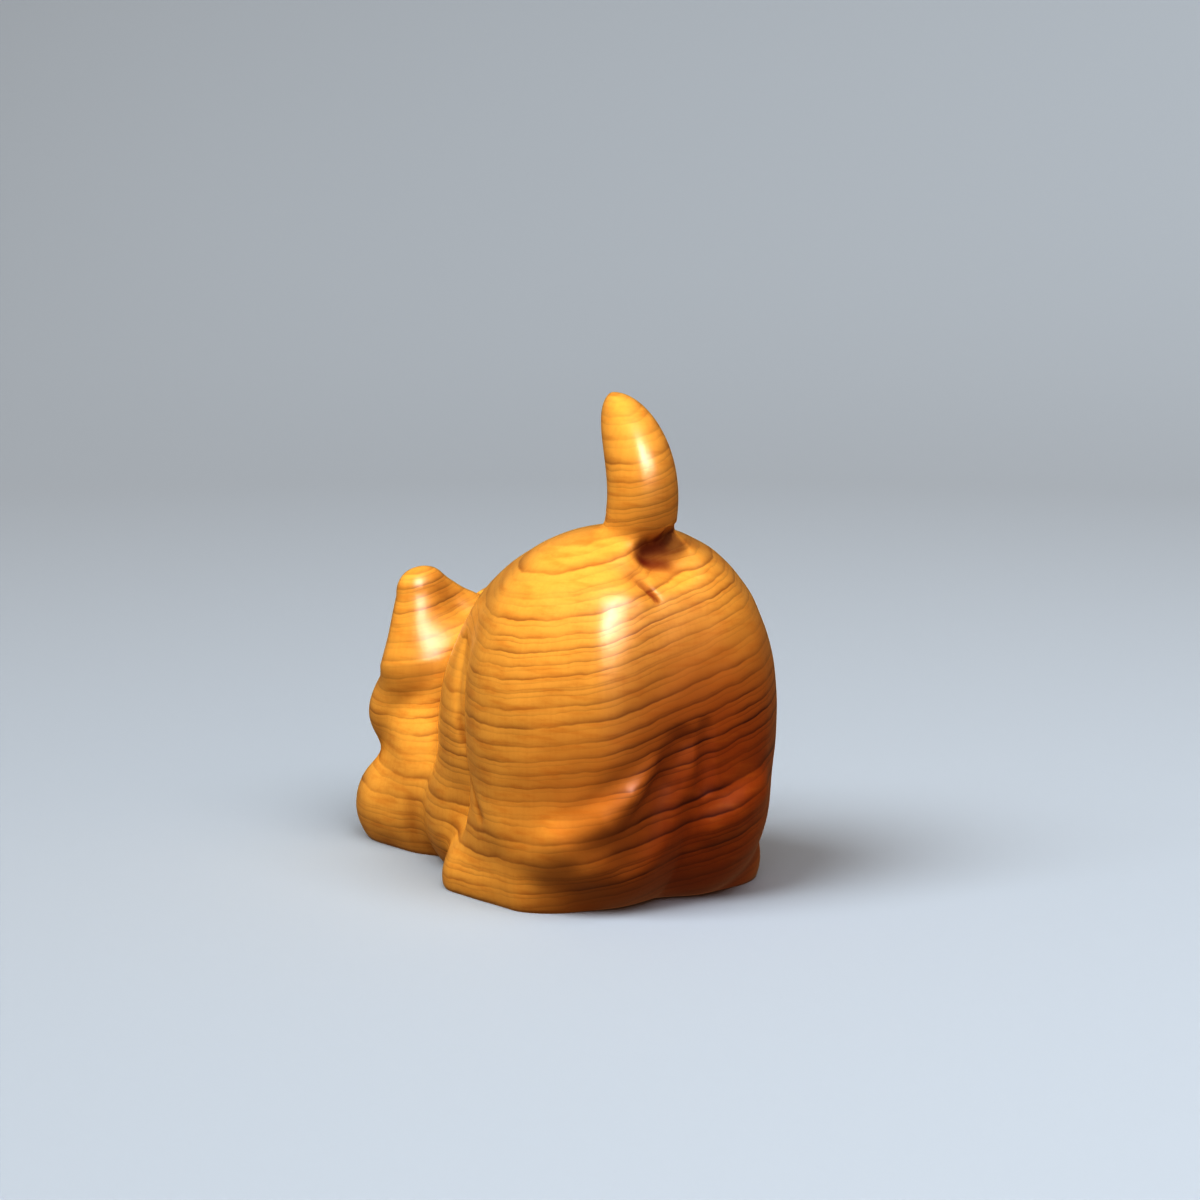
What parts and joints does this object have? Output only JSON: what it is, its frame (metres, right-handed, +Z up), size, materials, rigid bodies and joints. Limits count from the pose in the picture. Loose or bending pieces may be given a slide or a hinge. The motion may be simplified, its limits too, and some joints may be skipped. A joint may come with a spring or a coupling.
{
  "type": "carved wooden cat figurine",
  "caption": "Palm-sized carved wooden cat that crouches on a flat base with its rump and tail raised and its head low over its forepaws.",
  "frame": {"origin": "on the flat base, under the middle of the cat's length and width", "axes": "+Z up, -Y the way the cat faces, +X the cat's left side"},
  "size_m": [0.0356, 0.0584, 0.0551],
  "materials": {
    "carved_wood": "golden orange softwood with fine dark growth rings, waxed to a soft gloss",
    "bamboo": "bare split bamboo",
    "ebony": "polished dark beads"
  },
  "bodies": {
    "root": {"body": "carved_wood", "tail": "carved_wood", "tail_dowel": "bamboo", "left_eye": "ebony", "right_eye": "ebony"}
  },
  "joints": []
}
